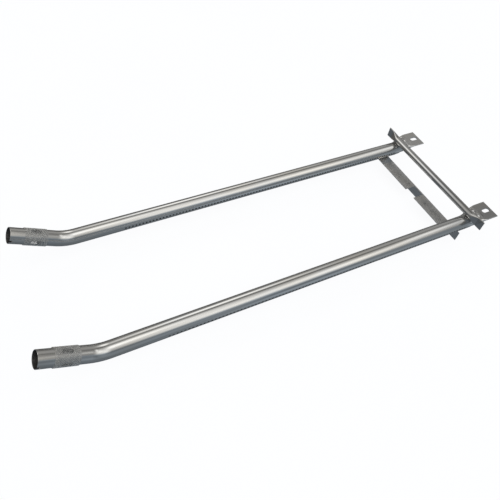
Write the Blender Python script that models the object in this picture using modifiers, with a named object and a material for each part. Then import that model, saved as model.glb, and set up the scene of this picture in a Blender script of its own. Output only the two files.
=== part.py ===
"""Twin-tube gas burner assembly.

Two bent stainless burner tubes lie side by side.  Their round inlets point up
at the front; their rear ends are crimped flat into slotted fixing tabs.  A
half-size carry-over tube crosses on top of both, an angle bracket ties them
together underneath, and an insect screen, built as a plain sleeve, is wrapped
round each inlet over its four air windows.

Axes: X across the tubes, Y along them (inlets at -Y, tabs at +Y), Z up.
Origin: bottom centre of the whole assembly's box.  Units: metres.
Parts hang on the datum, which has y = 0 at the tabs' ends and z = 0 on the
burner tubes' axes.
"""
import math

import bmesh
import bpy
from mathutils import Matrix, Vector

# ------------------------------------------------------------- burner tubes
TUBE_OD = 0.0254
TUBE_RADIUS = TUBE_OD / 2
TUBE_WALL = 0.0010
TUBE_SIDES = 24             # facets round a tube
TUBE_PITCH = 0.2160         # centre distance of the two tubes
BEND_TO_TAB = 0.7199        # from the corner of the bend to the tab's end
INLET_LEN = 0.0846          # from the corner of the bend to the mouth
BEND_ANGLE = math.radians(29.3)
BEND_RADIUS = 0.0600
BEND_STEPS = 6

TAB_THICK = 2 * TUBE_WALL   # two walls pressed together
CRIMP_START = 0.0640        # distance from the tab's end where flattening starts
CRIMP_END = 0.0220          # distance from the tab's end where it is flat
CRIMP_STEPS = 8
BORE_MIN_HALF = 2.4 * TUBE_WALL     # the bore stops where the outer half height is less
SLOT_LEN = 0.0160
SLOT_WIDTH = 0.0085
SLOT_FROM_END = 0.0122      # slot centre to the tab's end

PORT_PITCH = 0.00592
PORT_SIZE = 0.0021
PORT_COUNT = 95             # on each side of each tube
PORT_LAST = 0.0676          # rearmost port to the tab's end
PORT_SIDES = 4

WINDOW_LEN = 0.0153         # air windows, four round each inlet
WINDOW_WIDTH = 0.0072
WINDOW_AT = 0.0471          # window centre, from the corner of the bend
NOTCH_WIDTH = 0.0030        # locating notch in the rim of the mouth
NOTCH_DEPTH = 0.0045
NOTCH_CUTTER_X = 0.0060     # extent of its cutter across the tube wall
OBROUND_STEPS = 8           # segments in each rounded end of a slot or window

# ---------------------------------------------------------- insect screens
SCREEN_AT = 0.0468          # screen centre, from the corner of the bend
SCREEN_LEN = 0.0349
SCREEN_THICK = 0.0007
GAP = 0.0003                # clearance between pieces that rest on each other

# -------------------------------------------------------- carry-over tube
CROSS_OD = TUBE_OD / 2
CROSS_RADIUS = CROSS_OD / 2
CROSS_WALL = 0.0008
CROSS_SIDES = 20
CROSS_LEN = 0.2800
CROSS_FROM_END = 0.0551     # its axis to the tab's end
CROSS_FLAT = 0.0018         # thickness of its flattened ends
CROSS_ROUND_END = 0.1150    # round up to this distance from the middle
CROSS_FLAT_START = 0.1310   # flat from here on
CROSS_STEPS = 6             # between round and flat
CROSS_BORE_MIN_HALF = 1.6 * CROSS_WALL  # the bore stops where the outer half width is less
FEED_HOLE = 0.0060          # gas passage between burner and carry-over tube
FEED_SIDES = 12
BURNER_FEED_DEPTH = 0.0080  # length of the cutter through the burner tube's top
CROSS_PORT = 0.0018
CROSS_PORT_PITCH = 0.0120
CROSS_PORT_COUNT = 15
CROSS_PORT_DEPTH = 0.0040   # length of each port cutter
CROSS_PORT_ANGLE = math.radians(126)    # from the top, round towards the rear

# ----------------------------------------------------------------- bracket
BRACKET_THICK = 0.0012
BRACKET_REAR = 0.0697       # rear face to the tab's end
BRACKET_DEPTH = 0.0264      # of its top plate
BRACKET_TOP_HALF = 0.1148   # half length of the top plate
BRACKET_FLANGE_HALF = 0.1195
BRACKET_HEIGHT = 0.0213
BRACKET_BEND = 0.0030       # outside radius of its bend
BRACKET_BEND_STEPS = 4
CUTOUT_WIDTH = 0.0250       # cutout open to the front edge
CUTOUT_CENTRE = 0.0024      # it sits a little to +X of the middle
CUTOUT_STRIP = 0.0042       # strip left along the rear edge
BRACKET_HOLE = 0.0024
BRACKET_HOLE_SIDES = 10
BRACKET_HOLES = ((-0.0200, 0.0103), (0.0354, 0.0149))   # x, distance from rear face
OVERCUT = 0.0100            # how far bracket cutters run past the sheet; hole cutter length

# ------------------------------------------------------------------- frames
ACROSS = Vector((1, 0, 0))
UP = Vector((0, 0, 1))
# along the inlet towards its mouth, and square to it
MOUTH_DIR = Vector((0, -math.cos(BEND_ANGLE), math.sin(BEND_ANGLE)))
MOUTH_UP = Vector((0, math.sin(BEND_ANGLE), math.cos(BEND_ANGLE)))


def inlet_point(x, distance):
    """Point on an inlet's axis, at a distance from the corner of the bend."""
    return Vector((x, -BEND_TO_TAB, 0)) + MOUTH_DIR * distance


BOTTOM = -(TUBE_RADIUS + GAP + BRACKET_HEIGHT)
FRONT = (inlet_point(0, INLET_LEN).y
         - TUBE_RADIUS * math.cos(math.pi / TUBE_SIDES) * math.sin(BEND_ANGLE))

# ------------------------------------------------------------------- set-up
for old in list(bpy.data.objects):
    bpy.data.objects.remove(old, do_unlink=True)

parts = bpy.data.collections.new("burner_assembly")
cutters = bpy.data.collections.new("burner_cutters")
bpy.context.scene.collection.children.link(parts)
bpy.context.scene.collection.children.link(cutters)

datum = bpy.data.objects.new("datum", None)
datum.location = (0, -FRONT / 2, -BOTTOM)
parts.objects.link(datum)


def metal(name, colour, roughness):
    mat = bpy.data.materials.new(name)
    mat.use_nodes = True
    bsdf = mat.node_tree.nodes["Principled BSDF"]
    bsdf.inputs["Base Color"].default_value = (*colour, 1)
    bsdf.inputs["Roughness"].default_value = roughness
    bsdf.inputs["Metallic"].default_value = 1.0
    return mat


TUBE_STEEL = metal("tube_steel", colour=(0.62, 0.61, 0.59), roughness=0.28)
CROSS_STEEL = metal("carry_over_steel", colour=(0.56, 0.56, 0.55), roughness=0.30)
SHEET_STEEL = metal("bracket_steel", colour=(0.48, 0.48, 0.47), roughness=0.42)
WIRE_STEEL = metal("screen_wire", colour=(0.58, 0.58, 0.57), roughness=0.40)


# --------------------------------------------------------- parts and cutters
def adopt(obj, collection):
    """Move an object into one collection and hang it on the datum."""
    for coll in list(obj.users_collection):
        coll.objects.unlink(obj)
    collection.objects.link(obj)
    obj.parent = datum
    return obj


def new_part(name, mesh, mat):
    mesh.materials.append(mat)
    return adopt(bpy.data.objects.new(name, mesh), parts)


def as_cutter(obj, name):
    adopt(obj, cutters)
    obj.name = name
    obj.hide_render = True
    obj.display_type = "WIRE"
    return obj


def mesh_cutter(name, mesh):
    return as_cutter(bpy.data.objects.new(name, mesh), name)


def cube_cutter(name):
    bpy.ops.mesh.primitive_cube_add(size=1)
    return as_cutter(bpy.context.object, name)


def rod_cutter(name, diameter, depth, sides, location, rotation=(0, 0, 0)):
    bpy.ops.mesh.primitive_cylinder_add(
        vertices=sides, radius=diameter / 2, depth=depth,
        location=location, rotation=rotation)
    return as_cutter(bpy.context.object, name)


def repeat(obj, count, step):
    row = obj.modifiers.new("row", "ARRAY")
    row.count = count
    row.use_relative_offset = False
    row.use_constant_offset = True
    row.constant_offset_displace = step
    row.use_merge_vertices = False


def cut(target, cutter, name):
    mod = target.modifiers.new(name, "BOOLEAN")
    mod.operation = "DIFFERENCE"
    mod.solver = "EXACT"
    mod.object = cutter


def smooth(obj):
    obj.data.shade_smooth()
    obj.data.set_sharp_from_angle(angle=math.radians(35))


# ------------------------------------------------------- sections and meshes
def stadium(half_w, half_h, sides):
    """Outline of `sides` points, clockwise with x to the right and z up."""
    straight = half_w - half_h
    points = []
    for k in range(sides):
        a = 2 * math.pi * (k + 0.5) / sides
        x = half_h * math.sin(a) + math.copysign(straight, math.sin(a))
        points.append((x, half_h * math.cos(a)))
    return points


def flattened_half_width(radius, half_h):
    """Half width of a tube pressed to half height half_h, same outline length."""
    return half_h + math.pi * (radius - half_h) / 2


def ease(t):
    return t * t * (3 - 2 * t)


def ring_at(centre, side, up, outline):
    return [centre + side * x + up * z for x, z in outline]


def write_outward(bm, mesh):
    """Turn all normals outwards, store the result in mesh and free bm."""
    bmesh.ops.recalc_face_normals(bm, faces=bm.faces)
    if bm.calc_volume(signed=True) < 0:
        bmesh.ops.reverse_faces(bm, faces=bm.faces)
    bm.to_mesh(mesh)
    bm.free()
    return mesh


def loft(name, rings):
    """Closed surface through rings of equal point count, capped at both ends."""
    bm = bmesh.new()
    rows = [[bm.verts.new(p) for p in ring] for ring in rings]
    count = len(rows[0])
    for row, after in zip(rows, rows[1:]):
        for k in range(count):
            j = (k + 1) % count
            bm.faces.new((row[k], row[j], after[j], after[k]))
    bm.faces.new(rows[0][::-1])
    bm.faces.new(rows[-1])
    return write_outward(bm, bpy.data.meshes.new(name))


def extrude_outline(name, points, half_depth):
    """Mesh of a filled outline in XY, extruded both ways along Z."""
    curve = bpy.data.curves.new(name, "CURVE")
    curve.dimensions = "2D"
    curve.fill_mode = "BOTH"
    curve.extrude = half_depth
    spline = curve.splines.new("POLY")
    spline.points.add(len(points) - 1)
    for point, (x, y) in zip(spline.points, points):
        point.co = (x, y, 0, 1)
    spline.use_cyclic_u = True

    holder = bpy.data.objects.new(name + "_curve", curve)
    cutters.objects.link(holder)
    bpy.context.view_layer.update()
    evaluated = holder.evaluated_get(bpy.context.evaluated_depsgraph_get())
    mesh = bpy.data.meshes.new_from_object(evaluated)
    bpy.data.objects.remove(holder, do_unlink=True)

    # weld the caps to the walls
    bm = bmesh.new()
    bm.from_mesh(mesh)
    bmesh.ops.remove_doubles(bm, verts=bm.verts, dist=1e-6)
    return write_outward(bm, mesh)


def obround_cutter(name, length, width, depth):
    """Upright obround bar, long axis of its section along Y."""
    straight = (length - width) / 2
    points = []
    for end in (1, -1):
        for i in range(OBROUND_STEPS + 1):
            a = math.pi * i / OBROUND_STEPS
            points.append((end * width / 2 * math.cos(a),
                           end * (straight + width / 2 * math.sin(a))))
    return mesh_cutter(name, extrude_outline(name, points, depth / 2))


# -------------------------------------------------------------- burner tubes
def inlet_stations():
    """Centre and up direction of each round section, from mouth to end of bend."""
    bend_start = inlet_point(0, BEND_RADIUS * math.tan(BEND_ANGLE / 2))
    bend_centre = bend_start + MOUTH_UP * BEND_RADIUS
    stations = [(inlet_point(0, INLET_LEN), MOUTH_UP)]
    for i in range(BEND_STEPS + 1):
        a = BEND_ANGLE * (1 - i / BEND_STEPS)
        up = Vector((0, math.sin(a), math.cos(a)))
        stations.append((bend_centre - up * BEND_RADIUS, up))
    return stations


def crimp_stations():
    """y and outer half height, from the round tube to the tab's end."""
    stations = []
    for i in range(CRIMP_STEPS + 1):
        t = i / CRIMP_STEPS
        stations.append((-CRIMP_START + (CRIMP_START - CRIMP_END) * t,
                         TUBE_RADIUS + (TAB_THICK / 2 - TUBE_RADIUS) * ease(t)))
    stations.append((0, TAB_THICK / 2))
    return stations


def burner_skin(name):
    """One closed skin: up the outside from the tab, over the rim, down the bore."""
    outer, bore = [], []
    for centre, up in inlet_stations():
        for rings, radius in ((outer, TUBE_RADIUS), (bore, TUBE_RADIUS - TUBE_WALL)):
            rings.append(ring_at(centre, ACROSS, up, stadium(radius, radius, TUBE_SIDES)))
    for y, half_h in crimp_stations():
        # the tube's top stays level while it is pressed flat
        centre = Vector((0, y, TUBE_RADIUS - half_h))
        half_w = flattened_half_width(TUBE_RADIUS, half_h)
        outer.append(ring_at(centre, ACROSS, UP, stadium(half_w, half_h, TUBE_SIDES)))
        if half_h > BORE_MIN_HALF:
            bore.append(ring_at(centre, ACROSS, UP, stadium(
                half_w - TUBE_WALL, half_h - TUBE_WALL, TUBE_SIDES)))
    return loft(name, outer[::-1] + bore)


def burner_tube(name, x):
    obj = new_part(name, burner_skin(name), TUBE_STEEL)
    obj.location = (x, 0, 0)
    # x across, y along the inlet, z square to it
    inlet_frame = Matrix((ACROSS, MOUTH_DIR, -MOUTH_UP)).transposed()

    # air windows: one bar through top and bottom, one through both sides
    for tag, turn in (("top", 0.0), ("side", math.pi / 2)):
        bar = obround_cutter("cut_window_%s_%s" % (tag, name), WINDOW_LEN,
                             WINDOW_WIDTH, TUBE_OD * 1.5)
        spin = Matrix.Rotation(turn, 3, MOUTH_DIR) @ inlet_frame
        bar.matrix_local = (Matrix.Translation(inlet_point(x, WINDOW_AT))
                            @ spin.to_4x4())
        cut(obj, bar, "windows_" + tag)

    slot = obround_cutter("cut_slot_" + name, SLOT_LEN, SLOT_WIDTH, TAB_THICK * 5)
    slot.location = (x, -SLOT_FROM_END, TUBE_RADIUS - TAB_THICK / 2)
    cut(obj, slot, "slot")

    # passage up into the carry-over tube
    feed = rod_cutter("cut_feed_" + name, FEED_HOLE, BURNER_FEED_DEPTH, FEED_SIDES,
                      location=(x, -CROSS_FROM_END, TUBE_RADIUS))
    cut(obj, feed, "feed")

    # locating notch in the rim, on the +X side
    notch = cube_cutter("cut_notch_" + name)
    notch.matrix_local = (
        Matrix.Translation(inlet_point(x + TUBE_RADIUS, INLET_LEN))
        @ inlet_frame.to_4x4()
        @ Matrix.Diagonal((NOTCH_CUTTER_X, NOTCH_DEPTH * 2, NOTCH_WIDTH, 1)))
    cut(obj, notch, "notch")

    # flame ports along both sides, cut straight through the bore
    ports = rod_cutter("cut_ports_" + name, PORT_SIZE, TUBE_OD * 1.6, PORT_SIDES,
                       location=(x, -PORT_LAST - PORT_PITCH * (PORT_COUNT - 1), 0),
                       rotation=(0, math.pi / 2, 0))
    repeat(ports, PORT_COUNT, (0, PORT_PITCH, 0))
    cut(obj, ports, "ports")
    smooth(obj)


# ----------------------------------------------------------- carry-over tube
def cross_stations():
    """x, half width (along y) and half height, from round to the +X end."""
    stations = []
    for i in range(CROSS_STEPS + 1):
        t = i / CROSS_STEPS
        half_w = CROSS_RADIUS + (CROSS_FLAT / 2 - CROSS_RADIUS) * ease(t)
        stations.append((CROSS_ROUND_END + (CROSS_FLAT_START - CROSS_ROUND_END) * t,
                         half_w, flattened_half_width(CROSS_RADIUS, half_w)))
    stations.append((CROSS_LEN / 2, *stations[-1][1:]))
    return stations


def cross_loft(name, stations, inset):
    """Loft through the stations and their mirror images, set in by a wall."""
    mirrored = [(-x, half_w, half_h) for x, half_w, half_h in stations[::-1]]
    rings = []
    for x, half_w, half_h in mirrored + stations:
        # the stadium stands on edge: swap its two directions
        lying = stadium(half_h - inset, half_w - inset, CROSS_SIDES)
        upright = [(b, a) for a, b in lying][::-1]
        rings.append(ring_at(Vector((x, 0, 0)), Vector((0, -1, 0)), UP, upright))
    return loft(name, rings)


def carry_over_tube():
    name = "carry_over_tube"
    stations = cross_stations()
    centre = Vector((0, -CROSS_FROM_END, TUBE_RADIUS + GAP + CROSS_RADIUS))
    obj = new_part(name, cross_loft(name, stations, inset=0), CROSS_STEEL)
    obj.location = centre

    hollow = [s for s in stations if s[1] > CROSS_BORE_MIN_HALF]
    bore_name = "cut_carry_over_bore"
    bore = mesh_cutter(bore_name, cross_loft(bore_name, hollow, inset=CROSS_WALL))
    bore.location = centre
    cut(obj, bore, "bore")

    for tag, x in (("left", -TUBE_PITCH / 2), ("right", TUBE_PITCH / 2)):
        feed = rod_cutter("cut_carry_over_feed_" + tag, FEED_HOLE, CROSS_RADIUS,
                          FEED_SIDES, location=(x, -CROSS_FROM_END, TUBE_RADIUS + GAP))
        cut(obj, feed, "feed_" + tag)

    # small ports along the lower rear side, between the burner tubes; each
    # cutter is centred on the outer surface, its axis sloping down to the front
    on_surface = CROSS_RADIUS * Vector(
        (0, math.sin(CROSS_PORT_ANGLE), math.cos(CROSS_PORT_ANGLE)))
    half_row = Vector((CROSS_PORT_PITCH * (CROSS_PORT_COUNT - 1) / 2, 0, 0))
    ports = rod_cutter("cut_carry_over_ports", CROSS_PORT, CROSS_PORT_DEPTH, PORT_SIDES,
                       location=centre + on_surface - half_row,
                       rotation=(CROSS_PORT_ANGLE, 0, 0))
    repeat(ports, CROSS_PORT_COUNT, (CROSS_PORT_PITCH, 0, 0))
    cut(obj, ports, "ports")
    smooth(obj)


# ------------------------------------------------------------------- bracket
def bracket_outline():
    """Folded sheet seen from its end: distance from rear face, height."""
    inside = BRACKET_BEND - BRACKET_THICK
    quarter = [math.pi / 2 * i / BRACKET_BEND_STEPS
               for i in range(BRACKET_BEND_STEPS + 1)]
    return (
        [(BRACKET_DEPTH, 0)]
        + [(BRACKET_BEND * (1 - math.sin(a)), -BRACKET_BEND * (1 - math.cos(a)))
           for a in quarter]
        + [(0, -BRACKET_HEIGHT), (BRACKET_THICK, -BRACKET_HEIGHT)]
        + [(BRACKET_BEND - inside * math.sin(a), -BRACKET_BEND + inside * math.cos(a))
           for a in quarter[::-1]]
        + [(BRACKET_DEPTH, -BRACKET_THICK)])


def cut_box(target, name, low, high):
    box = cube_cutter(name)
    low, high = Vector(low), Vector(high)
    box.location = (low + high) / 2
    box.scale = high - low
    cut(target, box, name)


def bracket():
    """Folded angle: top plate under the tubes, flange down its rear edge."""
    name = "support_bracket"
    top = -(TUBE_RADIUS + GAP)
    mesh = extrude_outline(name, bracket_outline(), BRACKET_FLANGE_HALF)
    obj = new_part(name, mesh, SHEET_STEEL)
    # outline x -> -Y (towards the inlets), outline y -> Z, extrusion -> X
    frame = Matrix(((0, 0, 1), (-1, 0, 0), (0, 1, 0)))
    obj.matrix_local = (Matrix.Translation((0, -BRACKET_REAR, top))
                        @ frame.to_4x4())

    past_front = -BRACKET_REAR - BRACKET_DEPTH - OVERCUT
    cut_box(obj, "cut_window",
            (CUTOUT_CENTRE - CUTOUT_WIDTH / 2, past_front, top - OVERCUT),
            (CUTOUT_CENTRE + CUTOUT_WIDTH / 2, -BRACKET_REAR - CUTOUT_STRIP,
             top + OVERCUT))
    # the top plate is shorter than the flange
    for tag, sign in (("left", -1), ("right", 1)):
        x_low, x_high = sorted((sign * BRACKET_TOP_HALF,
                                sign * (BRACKET_FLANGE_HALF + OVERCUT)))
        cut_box(obj, "cut_end_" + tag,
                (x_low, past_front, top - 2 * BRACKET_THICK),
                (x_high, -BRACKET_REAR - BRACKET_BEND, top + OVERCUT))
    for i, (x, from_rear) in enumerate(BRACKET_HOLES):
        hole = rod_cutter("cut_bracket_hole_%d" % i, BRACKET_HOLE, OVERCUT,
                          BRACKET_HOLE_SIDES, location=(x, -BRACKET_REAR - from_rear, top))
        cut(obj, hole, "hole_%d" % i)
    smooth(obj)


# ------------------------------------------------------------ insect screens
def screen(name, x):
    """Wrapped screen: an open sleeve thickened outwards."""
    bpy.ops.mesh.primitive_cylinder_add(
        vertices=TUBE_SIDES, radius=TUBE_RADIUS + GAP, depth=SCREEN_LEN,
        end_fill_type="NOTHING")
    obj = adopt(bpy.context.object, parts)
    obj.name = name
    obj.data.materials.append(WIRE_STEEL)
    # facets in line with the tube's own, so the gap is even all round
    obj.data.transform(Matrix.Rotation(math.pi / TUBE_SIDES, 4, "Z"))
    wall = obj.modifiers.new("wall", "SOLIDIFY")
    wall.thickness = SCREEN_THICK
    wall.offset = 1
    wall.use_even_offset = True
    frame = Matrix((ACROSS, MOUTH_UP, MOUTH_DIR)).transposed()
    obj.matrix_local = (Matrix.Translation(inlet_point(x, SCREEN_AT))
                        @ frame.to_4x4())
    smooth(obj)


for side_name, side_x in (("left", -TUBE_PITCH / 2), ("right", TUBE_PITCH / 2)):
    burner_tube("burner_tube_" + side_name, side_x)
    screen("insect_screen_" + side_name, side_x)
carry_over_tube()
bracket()
bpy.context.view_layer.update()
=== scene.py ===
"""Looks of the twin-tube gas burner assembly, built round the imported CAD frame.

Units: metres, the CAD row frame (X across the tubes, Y along them, Z up).
"""
import math

import bmesh
import bpy
import numpy as np
from mathutils import Matrix, Vector


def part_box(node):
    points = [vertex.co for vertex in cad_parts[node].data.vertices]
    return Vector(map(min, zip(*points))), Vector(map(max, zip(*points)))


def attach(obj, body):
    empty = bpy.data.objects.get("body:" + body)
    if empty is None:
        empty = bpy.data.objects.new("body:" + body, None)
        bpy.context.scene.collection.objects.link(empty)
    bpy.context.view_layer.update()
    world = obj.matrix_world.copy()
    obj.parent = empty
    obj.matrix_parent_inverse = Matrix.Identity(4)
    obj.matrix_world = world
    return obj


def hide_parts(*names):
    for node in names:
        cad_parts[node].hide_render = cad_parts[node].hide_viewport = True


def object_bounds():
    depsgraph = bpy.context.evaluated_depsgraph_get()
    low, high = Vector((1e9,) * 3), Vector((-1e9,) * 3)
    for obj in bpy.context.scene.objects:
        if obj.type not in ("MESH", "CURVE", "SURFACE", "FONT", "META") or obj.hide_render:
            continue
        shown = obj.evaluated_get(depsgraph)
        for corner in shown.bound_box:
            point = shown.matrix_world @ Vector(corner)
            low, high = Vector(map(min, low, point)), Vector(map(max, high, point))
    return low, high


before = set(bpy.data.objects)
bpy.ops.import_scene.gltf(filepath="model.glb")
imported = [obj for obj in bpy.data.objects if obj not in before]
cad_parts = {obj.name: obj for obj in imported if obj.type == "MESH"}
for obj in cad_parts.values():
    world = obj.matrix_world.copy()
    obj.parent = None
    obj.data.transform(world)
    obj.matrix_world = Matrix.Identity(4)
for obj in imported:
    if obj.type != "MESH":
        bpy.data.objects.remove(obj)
CAD_BOX = [[float(v) for v in corner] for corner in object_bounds()]

# ------------------------------------------------------------------ dimensions
R = 0.0127                      # burner tube outside radius
WALL = 0.0010
BEND_TO_TAB = 0.7199
INLET_LEN = 0.0846
BEND = math.radians(29.3)
BEND_R = 0.0600
TAB_HALF = 0.0010               # half thickness of the flattened tab
CRIMP_START, CRIMP_END = 0.0640, 0.0220
SLOT_LEN, SLOT_WIDTH, SLOT_FROM_END = 0.0160, 0.0085, 0.0122
PORT_PITCH, PORT_R, PORT_COUNT, PORT_LAST = 0.00592, 0.00105, 95, 0.0676
WINDOW_LEN, WINDOW_WIDTH, WINDOW_AT = 0.0153, 0.0072, 0.0471
NOTCH_WIDTH, NOTCH_DEPTH = 0.0030, 0.0045
SCREEN_AT, SCREEN_LEN = 0.0468, 0.0349
CR = 0.00635                    # carry-over tube outside radius
C_WALL = 0.0008
C_FLAT = 0.0009                 # half thickness of its flattened ends
C_ROUND_END, C_FLAT_START = 0.1090, 0.1310
FEED_R = 0.0030
SHEET = 0.0012
SHEET_BEND = 0.0030
CUTOUT_WIDTH, CUTOUT_CENTRE, CUTOUT_STRIP = 0.0250, 0.0024, 0.0042
TOP_HALF = 0.1148
HOLES = ((-0.0200, 0.0103), (0.0354, 0.0149))
HOLE_R = 0.0012

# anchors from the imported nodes
TL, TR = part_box("burner_tube_left"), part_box("burner_tube_right")
CO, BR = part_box("carry_over_tube"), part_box("support_bracket")
X_LEFT = (TL[0].x + TL[1].x) / 2
X_RIGHT = (TR[0].x + TR[1].x) / 2
END_Y = (TL[1].y + TR[1].y) / 2             # ends of the tabs
AXIS_Z = TL[0].z + R * math.cos(math.pi / 24)
CO_Y = (CO[0].y + CO[1].y) / 2
CO_Z = (CO[0].z + CO[1].z) / 2
CO_HALF = (CO[1].x - CO[0].x) / 2
CO_X = (CO[0].x + CO[1].x) / 2
FLOOR_Z = CAD_BOX[0][2] - 0.0002

rng = np.random.default_rng(7)


# ------------------------------------------------------------------ small tools
def ease(t):
    t = min(1.0, max(0.0, t))
    return t * t * (3 - 2 * t)


class Skin:
    """Vertices and faces gathered by index, turned into a mesh at the end."""

    def __init__(self):
        self.v, self.f = [], []

    def add(self, pts):
        start = len(self.v)
        self.v.extend(tuple(map(float, p)) for p in pts)
        return list(range(start, len(self.v)))

    def band(self, a, b, skip=()):
        n = len(a)
        for k in range(n):
            if k in skip:
                continue
            j = (k + 1) % n
            self.f.append((a[k], a[j], b[j], b[k]))

    def mesh(self, name, weld=0.0):
        me = bpy.data.meshes.new(name)
        me.from_pydata(self.v, [], self.f)
        bm = bmesh.new()
        bm.from_mesh(me)
        if weld:
            bmesh.ops.remove_doubles(bm, verts=bm.verts, dist=weld)
        bmesh.ops.recalc_face_normals(bm, faces=bm.faces)
        if bm.calc_volume(signed=True) < 0:
            bmesh.ops.reverse_faces(bm, faces=bm.faces)
        bm.to_mesh(me)
        bm.free()
        return me


def new_object(name, me):
    o = bpy.data.objects.new(name, me)
    bpy.context.scene.collection.objects.link(o)
    return o


def prism(outline, depth):
    """Closed bar: a convex outline in XY, centred on z = 0."""
    s = Skin()
    low = s.add([(x, y, -depth / 2) for x, y in outline])
    high = s.add([(x, y, depth / 2) for x, y in outline])
    s.band(low, high)
    s.f.append(tuple(low[::-1]))
    s.f.append(tuple(high))
    return s.mesh("bar")


def obround(length, width, arc=16):
    """Outline with its long axis along Y."""
    straight, r, pts = (length - width) / 2, width / 2, []
    for end in (1, -1):
        for i in range(arc + 1):
            a = math.pi * i / arc
            pts.append((end * r * math.cos(a),
                        end * (straight + r * math.sin(a))))
    return pts


def circle(r, n=28):
    return [(r * math.cos(2 * math.pi * i / n), r * math.sin(2 * math.pi * i / n))
            for i in range(n)]


def cut_all(me, cutters, name):
    """Exact differences, one after another; the cutters are thrown away."""
    o = new_object(name + "_work", me)
    spare = []
    for i, (bar, place) in enumerate(cutters):
        c = new_object("%s_cutter_%d" % (name, i), bar)
        c.matrix_world = place
        spare.append(c)
        mod = o.modifiers.new("cut%d" % i, "BOOLEAN")
        mod.operation, mod.solver, mod.object = "DIFFERENCE", "EXACT", c
    bpy.context.view_layer.update()
    done = bpy.data.meshes.new_from_object(
        o.evaluated_get(bpy.context.evaluated_depsgraph_get()))
    done.name = name
    for c in spare + [o]:
        old = c.data
        bpy.data.objects.remove(c, do_unlink=True)
        bpy.data.meshes.remove(old)
    return done


def coords(me):
    co = np.empty(len(me.vertices) * 3)
    me.vertices.foreach_get("co", co)
    return co.reshape(-1, 3)


def set_flow(me, flow):
    """Unrolled coordinates for grain that follows the metal."""
    layer = me.attributes.new("flow", "FLOAT_VECTOR", "POINT")
    layer.data.foreach_set("vector", np.asarray(flow, float).ravel())


def set_inside(me, values):
    """0 on the drawn outside, 1 on the inside walls, which get painted shade and a rougher
    finish.
    """
    layer = me.attributes.new("inside", "FLOAT", "POINT")
    layer.data.foreach_set("value", np.asarray(values, float))


def depth_mask(depth, start=0.00010, full=0.00028):
    return ease((depth - start) / (full - start))


def shade(me, analytic=None, angle=32):
    """Smooth shading with sharp edges; analytic = (mask, normal) per vertex
    gives exact normals on faces that lie wholly on the true surface."""
    me.polygons.foreach_set("use_smooth", [True] * len(me.polygons))
    me.set_sharp_from_angle(angle=math.radians(angle))
    if analytic is None:
        return
    mask, normal = analytic
    n_loops = len(me.loops)
    got = np.empty(n_loops * 3)
    me.corner_normals.foreach_get("vector", got)
    got = got.reshape(-1, 3)
    verts = np.empty(n_loops, int)
    me.loops.foreach_get("vertex_index", verts)
    starts = np.empty(len(me.polygons), int)
    me.polygons.foreach_get("loop_start", starts)
    sizes = np.empty(len(me.polygons), int)
    me.polygons.foreach_get("loop_total", sizes)
    face_n = np.empty(len(me.polygons) * 3)
    me.polygons.foreach_get("normal", face_n)
    face_n = face_n.reshape(-1, 3)
    face_of = np.repeat(np.arange(len(sizes)), sizes)
    order = np.concatenate([np.arange(s, s + n) for s, n in zip(starts, sizes)])
    inv = np.empty(n_loops, int)
    inv[order] = face_of
    good = mask[verts] & (np.einsum("ij,ij->i", normal[verts], face_n[inv]) > 0.97)
    whole = np.ones(len(sizes), bool)
    np.logical_and.at(whole, inv, good)
    use = whole[inv]
    got[use] = normal[verts][use]
    me.normals_split_custom_set([tuple(v) for v in got])


# -------------------------------------------------------------- burner tubes
SIDES = 64
QUARTER = SIDES // 4
SIDE_LEN = BEND_R * math.tan(BEND / 2)
CORNER_Y = -BEND_TO_TAB
STRAIGHT_Y = CORNER_Y + SIDE_LEN            # where the straight run starts
M_DIR = np.array((0.0, -math.cos(BEND), math.sin(BEND)))
M_UP = np.array((0.0, math.sin(BEND), math.cos(BEND)))
B_START = np.array((0.0, CORNER_Y, 0.0)) + M_DIR * SIDE_LEN
B_CENTRE = np.array((0.0, STRAIGHT_Y, BEND_R))
STRAIGHT_INLET = INLET_LEN - SIDE_LEN


def crimp_at(y):
    """Half width, half height and axis height of the outer skin at y."""
    t = (y + CRIMP_START) / (CRIMP_START - CRIMP_END)
    hh = R + (TAB_HALF - R) * ease(t)
    return hh + math.pi * (R - hh) / 2, hh, R - hh


def quarter_lengths(hw, hh, squeeze):
    """Places of the ring's points along its first quarter (0 top, 16 side)."""
    total = math.pi / 2 * R
    flat = hw - hh
    bend = math.pi / 2 * hh * (total - flat) / max(1e-9, math.pi / 2 * hh)
    even = [total * k / QUARTER for k in range(QUARTER + 1)]
    split = QUARTER - 6
    tight = [flat * k / split if k <= split else
             flat + bend * (k - split) / (QUARTER - split)
             for k in range(QUARTER + 1)]
    return [a + (b - a) * squeeze for a, b in zip(even, tight)]


def stadium_ring(hw, hh, squeeze=0.0):
    """SIDES points (x, z) and their arc places, top first, towards +X."""
    flat = hw - hh
    q = quarter_lengths(hw, hh, squeeze)
    quarter = []
    for s in q:
        if s <= flat:
            quarter.append((s, hh))
        else:
            a = min(math.pi / 2, (s - flat) / hh)
            quarter.append((flat + hh * math.sin(a), hh * math.cos(a)))
    half = quarter + [(x, -z) for x, z in quarter[-2::-1]]
    return half + [(-x, z) for x, z in half[-2:0:-1]]


def inner_ring(hw, hh, wall, squeeze):
    """The inner skin's ring: the outer one moved in by the wall."""
    outer = stadium_ring(hw, hh, squeeze)
    flat = hw - hh
    pts = []
    for x, z in outer:
        dx = x - max(-flat, min(flat, x))
        length = math.hypot(dx, z)
        pts.append((x - dx / length * wall, z - z / length * wall))
    return pts


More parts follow.
